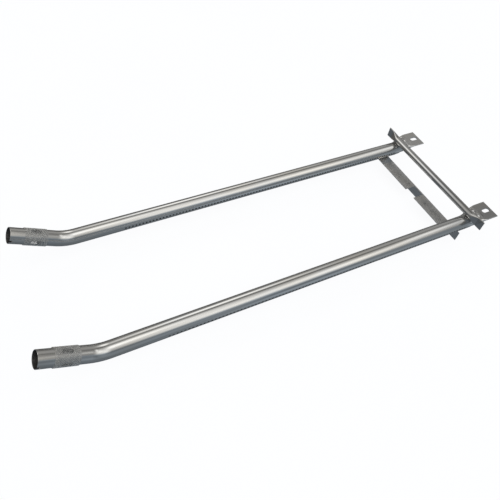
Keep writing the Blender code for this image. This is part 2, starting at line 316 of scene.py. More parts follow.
# small pressing marks on the crimp: x, y, height, width x, width y
MARKS = {
    "right": ((-6.0, -37.4, -1.25, 2.2, 1.5), (-9.6, -33.6, 0.45, 2.6, 1.5),
              (3.8, -34.0, 0.85, 2.6, 1.7), (9.4, -36.2, -0.55, 2.6, 1.3),
              (10.8, -33.0, 0.40, 2.4, 1.2), (16.5, -32.0, 0.35, 2.2, 1.4),
              (-1.5, -30.6, -0.30, 3.0, 1.6), (6.0, -29.2, -0.25, 3.4, 1.5)),
    "left": ((-11.4, -34.0, 0.80, 2.3, 1.6), (-3.6, -36.5, -1.10, 2.2, 1.5),
             (2.2, -33.4, 0.45, 2.6, 1.5), (8.2, -35.0, 0.60, 2.2, 1.6),
             (11.8, -36.6, -0.50, 2.2, 1.3), (15.2, -34.0, 0.45, 2.0, 1.4),
             (-6.5, -30.8, -0.30, 3.0, 1.6), (4.0, -30.0, -0.25, 3.2, 1.5)),
}


def press(side, x, y, top):
    """Height change of the crimp's skin at x, y (metres)."""
    if y < -0.052 or y > -0.0235:
        return 0.0
    fade = ease((y + 0.052) / 0.008) * ease((-0.0235 - y) / 0.003)
    dz = 0.0
    if top:
        for mx, my, h, wx, wy in MARKS[side]:
            dz += 1.4 * h * math.exp(-((x * 1000 - mx) / wx) ** 2
                               - ((y * 1000 - my) / wy) ** 2)
        # a shallow curved crease where the press closed
        line = -27.0 - 5.5 * (x * 1000 / 17.0) ** 2
        dz -= 0.28 * math.exp(-((y * 1000 - line) / 1.1) ** 2)
    else:
        line = -28.5 - 7.0 * (x * 1000 / 17.0) ** 2
        dz += 0.35 * math.exp(-((y * 1000 - line) / 1.3) ** 2)
    return dz * 0.001 * fade


def pinch(side, x, y, z_rel, hh):
    """Side dents where the round tube starts to spread, as (dx, dz)."""
    dx = dz = 0.0
    for my, mz, depth in ((-49.5, -0.45, 0.75), (-44.0, 0.35, 0.40)):
        w = (math.exp(-((y * 1000 - my) / 2.6) ** 2)
             * math.exp(-((z_rel / hh - mz) / 0.38) ** 2))
        if abs(x) > 0.006:
            dx -= math.copysign(depth * 0.001 * w, x)
    return dx, dz


def ring_points(side, kind, y=None, angle=None, t=None, radius_in=0.0, inner=False):
    """3-D points of a ring of the outer or inner skin."""
    wall = WALL if inner else 0.0
    if kind == "crimp":
        hw, hh, cz = crimp_at(y)
        squeeze = ease((y + CRIMP_START) / (CRIMP_START - CRIMP_END))
        if inner:
            flat = inner_ring(hw, hh, WALL, squeeze)
        else:
            flat = stadium_ring(hw, hh, squeeze)
        pts = []
        for x, z in flat:
            top = z > 0
            wz = min(1.0, abs(z) / max(1e-9, hh - wall)) ** 2
            dz = press(side, x, y, top) * wz
            dx, dz2 = pinch(side, x, y, z, hh)
            pts.append((x + dx, y, cz + z + dz + dz2))
        return pts
    r = R - wall - radius_in if inner is False else R - wall + radius_in
    flat = [(r * math.sin(2 * math.pi * k / SIDES),
             r * math.cos(2 * math.pi * k / SIDES)) for k in range(SIDES)]
    if kind == "straight":
        return [(x, y, z) for x, z in flat]
    if kind == "bend":
        up = np.array((0, math.sin(angle), math.cos(angle)))
        c = B_CENTRE - up * BEND_R
    else:
        up, c = M_UP, B_START + M_DIR * t
    return [tuple(c + np.array((x, 0, 0)) + up * z) for x, z in flat]


PORT_COLS = (14, 46)                # each band is four columns wide


def burner_mesh(side):
    s = Skin()
    inlet = [0.0, 0.00025, 0.0012] + [
        0.0012 + (STRAIGHT_INLET - 0.0012) * i / 15 for i in range(1, 15)]
    # mouth: outer and inner skins with rounded rim
    outer, inner = [], []
    for i, d in enumerate(inlet):
        t = STRAIGHT_INLET - d
        outer.append(s.add(ring_points(side, "inlet", t=t,
                                       radius_in=0.00022 if i == 0 else 0.0)))
        inner.append(s.add(ring_points(side, "inlet", t=t, inner=True,
                                       radius_in=0.00022 if i == 0 else 0.0)))
    steps = 18
    for i in range(steps + 1):
        a = BEND * (1 - i / steps)
        outer.append(s.add(ring_points(side, "bend", angle=a)))
        inner.append(s.add(ring_points(side, "bend", angle=a, inner=True)))
    first = -PORT_LAST - PORT_PITCH * (PORT_COUNT - 0.5)
    n = 11
    for i in range(1, n):
        y = STRAIGHT_Y + (first - STRAIGHT_Y) * i / n
        outer.append(s.add(ring_points(side, "straight", y=y)))
        inner.append(s.add(ring_points(side, "straight", y=y, inner=True)))
    s.band(outer[0], inner[0])
    for a, b in zip(outer, outer[1:]):
        s.band(a, b)
    for a, b in zip(inner, inner[1:]):
        s.band(a, b)

    # ports: 4-column cells with a round hole in each
    last_o, last_i = outer[-1], inner[-1]
    row_o = s.add(ring_points(side, "straight", y=first))
    row_i = s.add(ring_points(side, "straight", y=first, inner=True))
    s.band(last_o, row_o)
    s.band(last_i, row_i)
    for cell in range(PORT_COUNT):
        y0 = first + PORT_PITCH * cell
        y1 = y0 + PORT_PITCH
        nxt_o = s.add(ring_points(side, "straight", y=y1))
        nxt_i = s.add(ring_points(side, "straight", y=y1, inner=True))
        skip = set()
        for k0 in PORT_COLS:
            skip |= {k0 - 1, k0, k0 + 1, k0 + 2, k0 + 3, k0 + 4}
        rings = []
        for rad, row, nxt in ((R, row_o, nxt_o), (R - WALL, row_i, nxt_i)):
            s.band(row, nxt, skip)
            pair = []
            for k0 in PORT_COLS:
                mids = {}
                for k in (k0, k0 + 4):
                    th = 2 * math.pi * k / SIDES
                    mids[k] = s.add([(rad * math.sin(th), y0 + PORT_PITCH * q / 4,
                                      rad * math.cos(th)) for q in (1, 2, 3)])
                lo, hi = k0, k0 + 4
                s.f.append((row[lo - 1], row[lo], *mids[lo], nxt[lo], nxt[lo - 1]))
                s.f.append((row[hi], row[hi + 1], nxt[hi + 1], nxt[hi],
                            *mids[hi][::-1]))
                pair.append([row[k] for k in range(lo, hi + 1)] + mids[hi]
                            + [nxt[k] for k in range(hi, lo - 1, -1)]
                            + mids[lo][::-1])
            rings.append(pair)
        ym = (y0 + y1) / 2
        for b, k0 in enumerate(PORT_COLS):
            mid = 2 * math.pi * (k0 + 2) / SIDES
            loops = []
            for rad, rho in ((R, PORT_R + 0.00020), (R - 0.00006, PORT_R + 0.00007),
                             (R - 0.00020, PORT_R), (R - WALL, PORT_R)):
                pts = []
                for j in range(16):
                    phi = math.radians(-135 + 22.5 * j)
                    al = math.asin(rho * math.cos(phi) / rad)
                    pts.append((rad * math.sin(mid + al),
                                ym + rho * math.sin(phi),
                                rad * math.cos(mid + al)))
                loops.append(s.add(pts))
            s.band(rings[0][b], loops[0])
            for a, c in zip(loops, loops[1:]):
                s.band(a, c)
            s.band(loops[-1], rings[1][b])
        row_o, row_i = nxt_o, nxt_i

    # crimp and tab
    ys = [-CRIMP_START + 0.00085 * i for i in range(60)]
    ys = [y for y in ys if y < -CRIMP_END - 0.0003]
    ys += [-CRIMP_END * (1 - i / 12) for i in range(12)] + [-0.00016]
    prev_o, prev_i, open_inside = row_o, row_i, True
    for y in ys:
        ring = s.add(ring_points(side, "crimp", y=y))
        s.band(prev_o, ring)
        prev_o = ring
        if open_inside:
            if crimp_at(y)[1] > 2.4 * WALL:
                ring = s.add(ring_points(side, "crimp", y=y, inner=True))
                s.band(prev_i, ring)
                prev_i = ring
            else:
                s.f.append(tuple(prev_i))
                open_inside = False
    # cut end: fine broken edge, then the seam between the two walls
    hw, hh, cz = crimp_at(0.0)
    edge = stadium_ring(hw, hh, 1.0)
    soft = s.add([(x - math.copysign(0.00012, x) * (abs(x) > 0.0001)
                   if abs(x) > hw - hh else x, 0.0, cz + z * 0.84)
                  for x, z in edge])
    s.band(prev_o, soft)
    seam = 0.00007
    lip = s.add([(max(-hw + 0.0008, min(hw - 0.0008, x)), 0.0,
                  cz + (seam if k < 17 or k > 47 else -seam)
                  * (0.0 if k in (16, 48) else 1.0))
                 for k, (x, z) in enumerate(edge)])
    s.band(soft, lip)
    deep = s.add([(s.v[i][0], -0.0009, s.v[i][2]) for i in lip])
    s.band(lip, deep)
    for k in range(0, 16):
        a, b, c, d = k, k + 1, 31 - k, 32 - k
        s.f.append(tuple(dict.fromkeys((deep[a], deep[b], deep[c], deep[d]))))
        a, b, c, d = (64 - k) % 64, 63 - k, 33 + k, 32 + k
        s.f.append(tuple(dict.fromkeys((deep[a], deep[b], deep[c], deep[d]))))
    return s.mesh("burner_" + side)


def burner_flow(co):
    """Unrolled place of each vertex, and exact normals on the round skins."""
    n = len(co)
    flow = np.zeros((n, 3))
    mask = np.zeros(n, bool)
    normal = np.zeros((n, 3))
    # mask of the inner walls, which the material gives painted shade
    inside = np.zeros(n)
    mouth = B_START + M_DIR * STRAIGHT_INLET
    for i, (x, y, z) in enumerate(co):
        if y > -CRIMP_START + 1e-7:
            hw, hh, cz = crimp_at(y)
            zz = z - cz
            flat = hw - hh
            if y < -CRIMP_END - 0.002:
                gap = hh - math.hypot(max(0.0, abs(x) - flat), zz)
                inside[i] = depth_mask(gap, 0.0005, 0.0009)
            if abs(x) <= flat:
                arc = abs(x) if zz > 0 else math.pi * R - abs(x)
            else:
                arc = flat + hh * math.atan2(abs(x) - flat, zz)
            th = math.copysign(min(math.pi, arc / R), x)
            flow[i] = (y, R * math.sin(th), R * math.cos(th))
            continue
        if y >= STRAIGHT_Y:
            s_at, up, zz = y, np.array((0, 0, 1.0)), z
        else:
            dy, dz = y - B_CENTRE[1], z - B_CENTRE[2]
            a = math.atan2(-dy, -dz)
            if a <= BEND:
                s_at = STRAIGHT_Y - BEND_R * a
                up = np.array((0, math.sin(a), math.cos(a)))
                zz = BEND_R - math.hypot(dy, dz)
            else:
                d = np.array((0, y, z)) - B_START
                s_at = STRAIGHT_Y - BEND_R * BEND - d @ M_DIR
                up, zz = M_UP, d @ M_UP
        r = math.hypot(x, zz)
        th = math.atan2(x, zz)
        flow[i] = (s_at, R * math.sin(th), R * math.cos(th))
        if (mouth - np.array((0.0, y, z))) @ M_DIR < 0.00035:
            inside[i] = depth_mask(R - r, 0.0006, 0.0010)
        else:
            inside[i] = depth_mask(R - r)
        for rad, sign in ((R, 1), (R - WALL, -1)):
            if abs(r - rad) < 4e-6:
                mask[i] = True
                normal[i] = sign * (np.array((math.sin(th), 0, 0))
                                    + up * math.cos(th))
    return flow, mask, normal, inside


def burner_tube(side, x):
    me = burner_mesh(side)
    tilt = Matrix(((1, 0, 0), tuple(M_DIR), tuple(np.cross((1, 0, 0), M_DIR))))
    tilt = tilt.transposed()
    where = Vector(Vector((0, CORNER_Y, 0)) + Vector(M_DIR) * WINDOW_AT)
    cutters = []
    for turn in (0.0, math.pi / 2):
        spin = Matrix.Rotation(turn, 3, Vector(M_DIR)) @ tilt
        cutters.append((prism(obround(WINDOW_LEN, WINDOW_WIDTH), R * 3),
                        Matrix.Translation(where) @ spin.to_4x4()))
    cutters.append((prism(obround(SLOT_LEN, SLOT_WIDTH), 0.010),
                    Matrix.Translation((0, -SLOT_FROM_END, R - TAB_HALF))))
    cutters.append((prism(circle(FEED_R), 0.008),
                    Matrix.Translation((0, CO_Y - END_Y, R))))
    w, d = NOTCH_WIDTH / 2, NOTCH_DEPTH
    slit = [(w * math.cos(a), -d + w + w * math.sin(a))
            for a in np.linspace(math.pi, 2 * math.pi, 13)]
    slit += [(w, 0.003), (-w, 0.003)]
    mouth = Vector(B_START) + Vector(M_DIR) * STRAIGHT_INLET
    lie = Matrix((tuple(np.cross(M_DIR, (1, 0, 0))), tuple(M_DIR),
                  (1, 0, 0))).transposed()
    cutters.append((prism(slit, 0.006),
                    Matrix.Translation(mouth + Vector((R, 0, 0)))
                    @ lie.to_4x4()))
    me = cut_all(me, cutters, "burner_" + side)
    flow, mask, normal, inside = burner_flow(coords(me))
    set_flow(me, flow)
    set_inside(me, inside)
    shade(me, (mask, normal))
    o = new_object("burner_" + side, me)
    me.transform(Matrix.Translation((x, END_Y, AXIS_Z)))
    return o


# ----------------------------------------------------------- carry-over tube
C_SIDES = 48


def cross_at(x):
    t = (abs(x) - C_ROUND_END) / (C_FLAT_START - C_ROUND_END)
    hw = CR + (C_FLAT - CR) * ease(t)               # half width, along Y
    return hw, hw + math.pi * (CR - hw) / 2, ease(t)


def cross_ring(x, wall=0.0, shrink=0.0):
    """Points of a ring on edge: (x, y, z), first at the top, towards -Y."""
    hy, hz, squeeze = cross_at(x)
    straight = hz - hy
    total = math.pi / 2 * CR
    q = C_SIDES // 4
    split = 5
    pts = []
    for k in range(q + 1):
        even = total * k / q
        tip = math.pi / 2 * hy
        tight = tip * k / split if k <= split else (
            tip + (total - tip) * (k - split) / (q - split))
        s_at = even + (tight - even) * squeeze
        if s_at <= tip:
            a = s_at / hy
            y, z = hy * math.sin(a), straight + hy * math.cos(a)
            ny, nz = math.sin(a), math.cos(a)
        else:
            y, z, ny, nz = hy, straight - (s_at - tip), 1.0, 0.0
        if k == q:
            z, ny, nz = 0.0, 1.0, 0.0
        pts.append((y - ny * (wall + shrink), z - nz * (wall + shrink)))
    half = pts + [(y, -z) for y, z in pts[-2::-1]]
    full = half + [(-y, z) for y, z in half[-2:0:-1]]
    return [(x, -y, z) for y, z in full]


def carry_over():
    s = Skin()
    half = CO_HALF
    xs = ([-half + 0.00014] + [-half + 0.0009 + (half - 0.0009 - C_FLAT_START) * i / 4
                               for i in range(5)]
          + [-C_FLAT_START + (C_FLAT_START - C_ROUND_END) * i / 24
             for i in range(1, 25)])
    middle = [-C_ROUND_END + 2 * C_ROUND_END * i / 46 for i in range(1, 46)]
    xs = xs + middle + [-x for x in xs[::-1]]
    rings = [s.add(cross_ring(x)) for x in xs]
    for a, b in zip(rings, rings[1:]):
        s.band(a, b)
    # cut ends with the seam between the walls
    q = C_SIDES // 4
    for sign, ring in ((-1, rings[0]), (1, rings[-1])):
        edge = cross_ring(half)
        soft = s.add([(sign * half, y * 0.84, z - math.copysign(0.00012, z)
                       * (abs(z) > 0.004)) for _, y, z in edge])
        s.band(ring, soft)
        seam = 0.00007
        lip = []
        for k, (_, y, z) in enumerate(edge):
            yy = 0.0 if k in (0, 2 * q) else math.copysign(seam, y)
            lip.append((sign * half, yy, z * 0.93))
        lip = s.add(lip)
        s.band(soft, lip)
        deep = s.add([(s.v[i][0] - sign * 0.0008, s.v[i][1], s.v[i][2])
                      for i in lip])
        s.band(lip, deep)
        n = C_SIDES
        for k in range(0, 2 * q):
            a, b, c, d = k, k + 1, (n - k - 1) % n, (n - k) % n
            s.f.append(tuple(dict.fromkeys((deep[a], deep[b], deep[c], deep[d]))))
    me = s.mesh("carry_over")
    # the bore, as one closed body to take away
    b = Skin()
    bx = [x for x in xs if cross_at(x)[0] > 1.6 * C_WALL]
    rows = [b.add(cross_ring(x, wall=C_WALL)) for x in bx]
    for p, r in zip(rows, rows[1:]):
        b.band(p, r)
    b.f.append(tuple(rows[0][::-1]))
    b.f.append(tuple(rows[-1]))
    cutters = [(b.mesh("bore"), Matrix.Identity(4))]
    for x in (X_LEFT - CO_X, X_RIGHT - CO_X):
        cutters.append((prism(circle(FEED_R), CR),
                        Matrix.Translation((x, 0, -CR))))
    lean = math.radians(-126)
    out = Vector((0, -math.sin(lean), math.cos(lean)))
    for i in range(15):
        cutters.append((prism(circle(0.0009, 14), 0.004),
                        Matrix.Translation(Vector((0.012 * (i - 7), 0, 0))
                                           + out * CR)
                        @ Matrix.Rotation(-lean, 4, "X")))
    me = cut_all(me, cutters, "carry_over")
    co = coords(me)
    flow = np.zeros_like(co)
    mask = np.zeros(len(co), bool)
    normal = np.zeros_like(co)
    # mask of the inner walls, which the material gives painted shade
    inside = np.zeros(len(co))
    for i, (x, y, z) in enumerate(co):
        th = math.atan2(-y, z)
        flow[i] = (x, CR * math.sin(th), CR * math.cos(th))
        r = math.hypot(y, z)
        hy, hz, _ = cross_at(x)
        if abs(x) < C_FLAT_START - 0.002:
            gap = hy - math.hypot(y, max(0.0, abs(z) - (hz - hy)))
            inside[i] = depth_mask(gap)
        if abs(x) <= C_ROUND_END + 1e-6:
            for rad, sign in ((CR, 1), (CR - C_WALL, -1)):
                if abs(r - rad) < 4e-6:
                    mask[i] = True
                    normal[i] = (0, sign * y / r, sign * z / r)
    set_flow(me, flow)
    set_inside(me, inside)
    shade(me, (mask, normal))
    o = new_object("carry_over", me)
    me.transform(Matrix.Translation((CO_X, CO_Y, CO_Z)))
    return o


# ------------------------------------------------------------------- bracket
def bracket():
    t, b = SHEET, SHEET_BEND
    depth = BR[1].y - BR[0].y
    height = BR[1].z - BR[0].z
    half = (BR[1].x - BR[0].x) / 2
    mid_x = (BR[1].x + BR[0].x) / 2
    # profile in (distance in front of the rear face, height under the top)
    outer = [(depth, 0.0)]
    outer += [(b * (1 - math.sin(a)), -b * (1 - math.cos(a)))
              for a in np.linspace(0, math.pi / 2, 11)]
    outer += [(0.0, -height)]
    inner = [(t, -height)]
    inner += [(b - (b - t) * math.sin(a), -b + (b - t) * math.cos(a))
              for a in np.linspace(math.pi / 2, 0, 11)]
    inner += [(depth, -t)]
    profile = outer + inner
    s = Skin()
    cols = 60
    rows = []
    for i in range(cols + 1):
        x = -half + 2 * half * i / cols
        rows.append(s.add([(x, -d, h) for d, h in profile]))
    for p, q in zip(rows, rows[1:]):
        s.band(p, q)
    n = len(profile)
    for row in (rows[0], rows[-1]):
        for k in range(n // 2 - 1):
            s.f.append((row[k], row[k + 1], row[n - 2 - k], row[n - 1 - k]))
    me = s.mesh("bracket")

    def box_bar(lo, hi):
        lo, hi = Vector(lo), Vector(hi)
        w, d = hi.x - lo.x, hi.y - lo.y
        bar = prism([(-w / 2, -d / 2), (w / 2, -d / 2), (w / 2, d / 2),
                     (-w / 2, d / 2)], hi.z - lo.z)
        return bar, Matrix.Translation((lo + hi) / 2)

    # cut-out open to the front with slightly rounded inner corners
    cx, cw, r = CUTOUT_CENTRE - mid_x, CUTOUT_WIDTH / 2, 0.0008
    back = -CUTOUT_STRIP
    outline = [(cx - cw, -depth - 0.01), (cx + cw, -depth - 0.01)]
    outline += [(cx + cw - r + r * math.cos(a), back - r + r * math.sin(a))
                for a in np.linspace(0, math.pi / 2, 5)]
    outline += [(cx - cw + r + r * math.cos(a), back - r + r * math.sin(a))
                for a in np.linspace(math.pi / 2, math.pi, 5)]
    cutters = [(prism(outline, 0.008), Matrix.Translation((0, 0, -0.0005)))]
    for sgn in (-1, 1):
        a, c = sgn * TOP_HALF - mid_x, sgn * (half + 0.01)
        cutters.append(box_bar((min(a, c), -depth - 0.01, -2 * t),
                               (max(a, c), -b, 0.01)))
    for x, behind in HOLES:
        cutters.append((prism(circle(HOLE_R, 24), 0.01),
                        Matrix.Translation((x - mid_x, -behind, 0))))
    me = cut_all(me, cutters, "bracket")
    co = coords(me)
    flow = np.zeros_like(co)
    for i, (x, y, z) in enumerate(co):
        flow[i] = (x, y - 0.3 * (z < -b) * 0, z)
    set_flow(me, flow)
    o = new_object("bracket", me)
    me.transform(Matrix.Translation((mid_x, BR[1].y, BR[1].z)))
    me.polygons.foreach_set("use_smooth", [True] * len(me.polygons))
    bev = o.modifiers.new("edges", "BEVEL")
    bev.width, bev.segments = 0.00014, 2
    bev.limit_method, bev.angle_limit = "ANGLE", math.radians(40)
    bev.harden_normals = False
    flat = o.modifiers.new("flat", "WEIGHTED_NORMAL")
    flat.mode, flat.weight, flat.keep_sharp = "FACE_AREA", 100, False
    bpy.context.view_layer.update()
    done = bpy.data.meshes.new_from_object(
        o.evaluated_get(bpy.context.evaluated_depsgraph_get()))
    o.modifiers.clear()
    o.data = done
    bpy.data.meshes.remove(me)
    return o


# ------------------------------------------------------------ woven screens
def screen(name, x):
    """Plain-woven wire cloth wrapped once round the tube, lapped underneath."""
    wire = 0.000190                     # wire radius
    around = 56
    step = 2 * math.pi / around
    lap = 5                             # extra warp wires in the lap
    r_mid = R + 0.0003 + 2 * wire
    pitch = 0.00146
    rings = int(SCREEN_LEN / pitch)
    span = pitch * (rings - 1)
    start = math.pi + 1.5 * step        # the lap is on the underside

    def lift(k):
        """Rise of the lapped end, by wire count from the start."""
        return 4.1 * wire * ease((k - (around - 7)) / 5.0)

    verts, faces = [], []
    sec = 6

    def wire_along(points, closed=False):
        """Round wire through points; frames from radial direction."""
        pts = np.array(points)
        n = len(pts)
        tan = np.gradient(pts, axis=0)
        tan /= np.linalg.norm(tan, axis=1)[:, None]
        radial = pts.copy()
        radial[:, 2] = 0
        radial /= np.linalg.norm(radial, axis=1)[:, None]
        b = np.cross(tan, radial)
        b /= np.linalg.norm(b, axis=1)[:, None]
        c = np.cross(b, tan)
        base = len(verts)
        for i in range(n):
            for j in range(sec):
                a = 2 * math.pi * (j + 0.5) / sec
                p = pts[i] + wire * (math.cos(a) * b[i] + math.sin(a) * c[i])
                verts.append(tuple(p))
        for i in range(n - 1):
            for j in range(sec):
                k = (j + 1) % sec
                faces.append((base + i * sec + j, base + i * sec + k,
                              base + (i + 1) * sec + k, base + (i + 1) * sec + j))
        faces.append(tuple(base + j for j in range(sec))[::-1])
        faces.append(tuple(base + (n - 1) * sec + j for j in range(sec)))

    per = 4                             # samples per crossing
    for j in range(around + lap):
        phi = start + j * step
        pts = []
        ends = 0.00045 + 0.0002 * rng.random()
        zs = np.concatenate([[-span / 2 - ends],
                             -span / 2 + pitch / per * np.arange((rings - 1) * per + 1),
                             [span / 2 + ends]])
        wob = 0.00006 * rng.standard_normal()
        for z in zs:
            r = (r_mid + lift(j)
                 + wire * 1.02 * math.cos(math.pi * (z + span / 2) / pitch)
                 * (-1) ** j)
            a = phi + wob / r_mid
            pts.append((r * math.sin(a), r * math.cos(a), z))
        wire_along(pts)
    for i in range(rings):
        z = -span / 2 + i * pitch + 0.00005 * rng.standard_normal()
        pts = []
        for q in range(-2, (around + lap - 1) * per + 3):
            k = q / per
            phi = start + k * step
            r = (r_mid + lift(k)
                 - wire * 1.02 * math.cos(math.pi * k) * (-1) ** i)
            pts.append((r * math.sin(phi), r * math.cos(phi), z))
        wire_along(pts)
    me = bpy.data.meshes.new(name)
    me.from_pydata(verts, [], faces)
    me.polygons.foreach_set("use_smooth", [True] * len(me.polygons))
    set_flow(me, [(v[2], v[0], v[1]) for v in verts])
    o = new_object(name, me)
    # local z along the inlet, local y up
    turn = Matrix(((1, 0, 0), tuple(M_UP), tuple(M_DIR))).transposed()
    where = Vector((x, END_Y + CORNER_Y, AXIS_Z)) + Vector(M_DIR) * SCREEN_AT
    me.transform(Matrix.Translation(where) @ turn.to_4x4())
    bm = bmesh.new()
    bm.from_mesh(me)
    bmesh.ops.recalc_face_normals(bm, faces=bm.faces)
    bm.to_mesh(me)
    bm.free()
    return o


# ----------------------------------------------------------------- materials
class Tree:
    """Short-hand for building node trees."""

    def __init__(self, tree):
        self.t = tree

    def node(self, kind, **props):
        n = self.t.nodes.new(kind)
        for k, v in props.items():
            setattr(n, k, v)
        return n

    def put(self, sock, v):
        if hasattr(v, "is_output") or hasattr(v, "links"):
            self.t.links.new(v, sock)
        else:
            sock.default_value = v

    def math(self, op, a, b=0.0, c=None, clamp=False):
        n = self.node("ShaderNodeMath", operation=op, use_clamp=clamp)
        self.put(n.inputs[0], a)
        self.put(n.inputs[1], b)
        if c is not None:
            self.put(n.inputs[2], c)
        return n.outputs[0]

    def vmath(self, op, a, b=(0, 0, 0)):
        n = self.node("ShaderNodeVectorMath", operation=op)
        self.put(n.inputs[0], a)
        self.put(n.inputs[1], b)
        return n.outputs[0]

    def noise(self, vec, scale, detail=2.0, rough=0.5):
        n = self.node("ShaderNodeTexNoise", noise_dimensions="3D")
        self.put(n.inputs["Vector"], vec)
        self.put(n.inputs["Scale"], scale)
        self.put(n.inputs["Detail"], detail)
        self.put(n.inputs["Roughness"], rough)
        return n.outputs["Fac"]

    def ramp(self, fac, stops, interp="LINEAR"):
        n = self.node("ShaderNodeValToRGB")
        cr = n.color_ramp
        cr.interpolation = interp
        while len(cr.elements) > 1:
            cr.elements.remove(cr.elements[-1])
        cr.elements[0].position = stops[0][0]
        for pos, col in stops[1:]:
            cr.elements.new(pos)
        for el, (pos, col) in zip(cr.elements, stops):
            el.position = pos
            if not hasattr(col, "__len__"):
                col = (col, col, col)
            el.color = (*col, 1)
        self.put(n.inputs[0], fac)
        return n.outputs[0]

    def range(self, v, a, b, lo=0.0, hi=1.0, smooth=False):
        n = self.node("ShaderNodeMapRange",
                      interpolation_type="SMOOTHSTEP" if smooth else "LINEAR")
        n.clamp = True
        self.put(n.inputs["Value"], v)
        for key, val in (("From Min", a), ("From Max", b), ("To Min", lo),
                         ("To Max", hi)):
            self.put(n.inputs[key], val)
        return n.outputs[0]

    def mix(self, fac, a, b, blend="MIX"):
        n = self.node("ShaderNodeMix", data_type="RGBA", blend_type=blend)
        self.put(n.inputs[0], fac)
        self.put(n.inputs[6], a)
        self.put(n.inputs[7], b)
        return n.outputs[2]


